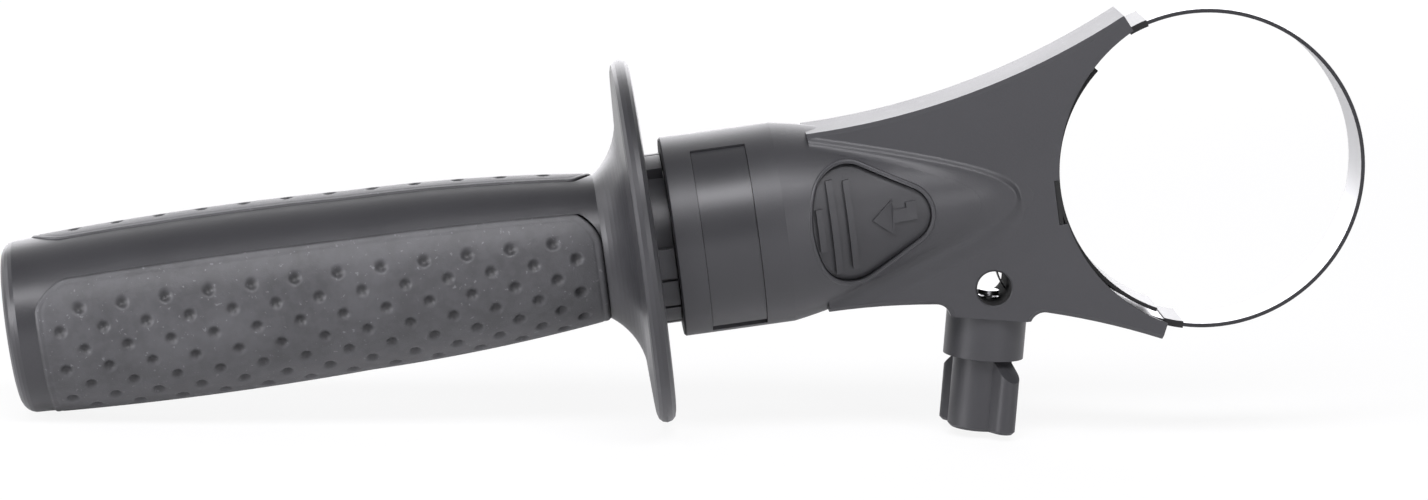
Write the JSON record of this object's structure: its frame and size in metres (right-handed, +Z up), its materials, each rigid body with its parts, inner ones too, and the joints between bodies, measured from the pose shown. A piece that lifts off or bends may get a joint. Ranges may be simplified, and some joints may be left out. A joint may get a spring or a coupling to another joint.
{
  "type": "power tool side handle",
  "caption": "Side handle for a rotary hammer: turning the grip draws a steel strap tight round the tool's collar, and a wing bolt clamps a depth rod in a cross hole.",
  "frame": {"origin": "centre of the round tool collar that the strap clamps, at the middle of its width", "axes": "+Y along the tool collar's axis, +X along the neck away from the grip, +Z up; the depth rod's clamp bolt hangs below"},
  "size_m": [0.32, 0.086, 0.0998],
  "materials": {
    "moulded_plastic": "fine satin grain",
    "label_plastic": "smooth satin",
    "hub_plastic": "satin",
    "knob_plastic": "satin",
    "soft_grip": "soft, dimpled",
    "liner_rubber": "matt",
    "strap_steel": "rolled satin",
    "bolt_steel": "bright zinc",
    "spring_steel": "drawn wire",
    "insert_brass": "turned"
  },
  "bodies": {
    "arm": {"arm_housing": "moulded_plastic", "label_plate": "label_plastic", "saddle_liner": "liner_rubber", "clamp_insert": "insert_brass", "rod_spring": "spring_steel", "thrust_washer": "bolt_steel", "release_spring": "spring_steel", "button_spring": "spring_steel"},
    "grip": {"grip_core": "moulded_plastic", "front_pad": "soft_grip", "rear_pad": "soft_grip", "grip_hub": "hub_plastic", "grip_nut": "bolt_steel"},
    "strap": {"tension_bolt": "bolt_steel", "clamp_band": "strap_steel", "upper_band_sleeve": "hub_plastic", "lower_band_sleeve": "hub_plastic"},
    "foot": {"clamp_foot": "bolt_steel"},
    "wing_bolt": {"clamp_screw": "bolt_steel", "wing_knob": "knob_plastic"},
    "button": {"release_button": "moulded_plastic"}
  },
  "joints": [
    {"name": "grip_turn", "type": "hinge", "parent": "arm", "child": "grip", "pos_m": [-0.13, 0, 0], "axis": [1, 0, 0], "range_deg": [-345.6, 432]},
    {"name": "strap_slide", "type": "slide", "parent": "arm", "child": "strap", "axis": [1, 0, 0], "range_m": [-0.0015, 0.0012], "deforming": ["release_spring"]},
    {"name": "foot_slide", "type": "slide", "parent": "arm", "child": "foot", "axis": [0.2079, 0, 0.9781], "range_m": [-0.004, 0]},
    {"name": "wing_turn", "type": "hinge", "parent": "foot", "child": "wing_bolt", "pos_m": [-0.0535, 0, -0.02095], "axis": [0.2079, 0, 0.9781], "range_deg": [-1800, 0]},
    {"name": "button_press", "type": "slide", "parent": "arm", "child": "button", "axis": [0, 1, 0], "range_m": [0, 0.0015], "stiffness_N_per_m": 900, "springref_m": -0.001, "deforming": ["button_spring"]}
  ],
  "couplings": [
    {"joint": "strap_slide", "follows": "grip_turn", "m_per_rad": -0.00019894},
    {"joint": "foot_slide", "follows": "wing_turn", "m_per_rad": 0.00012732}
  ]
}
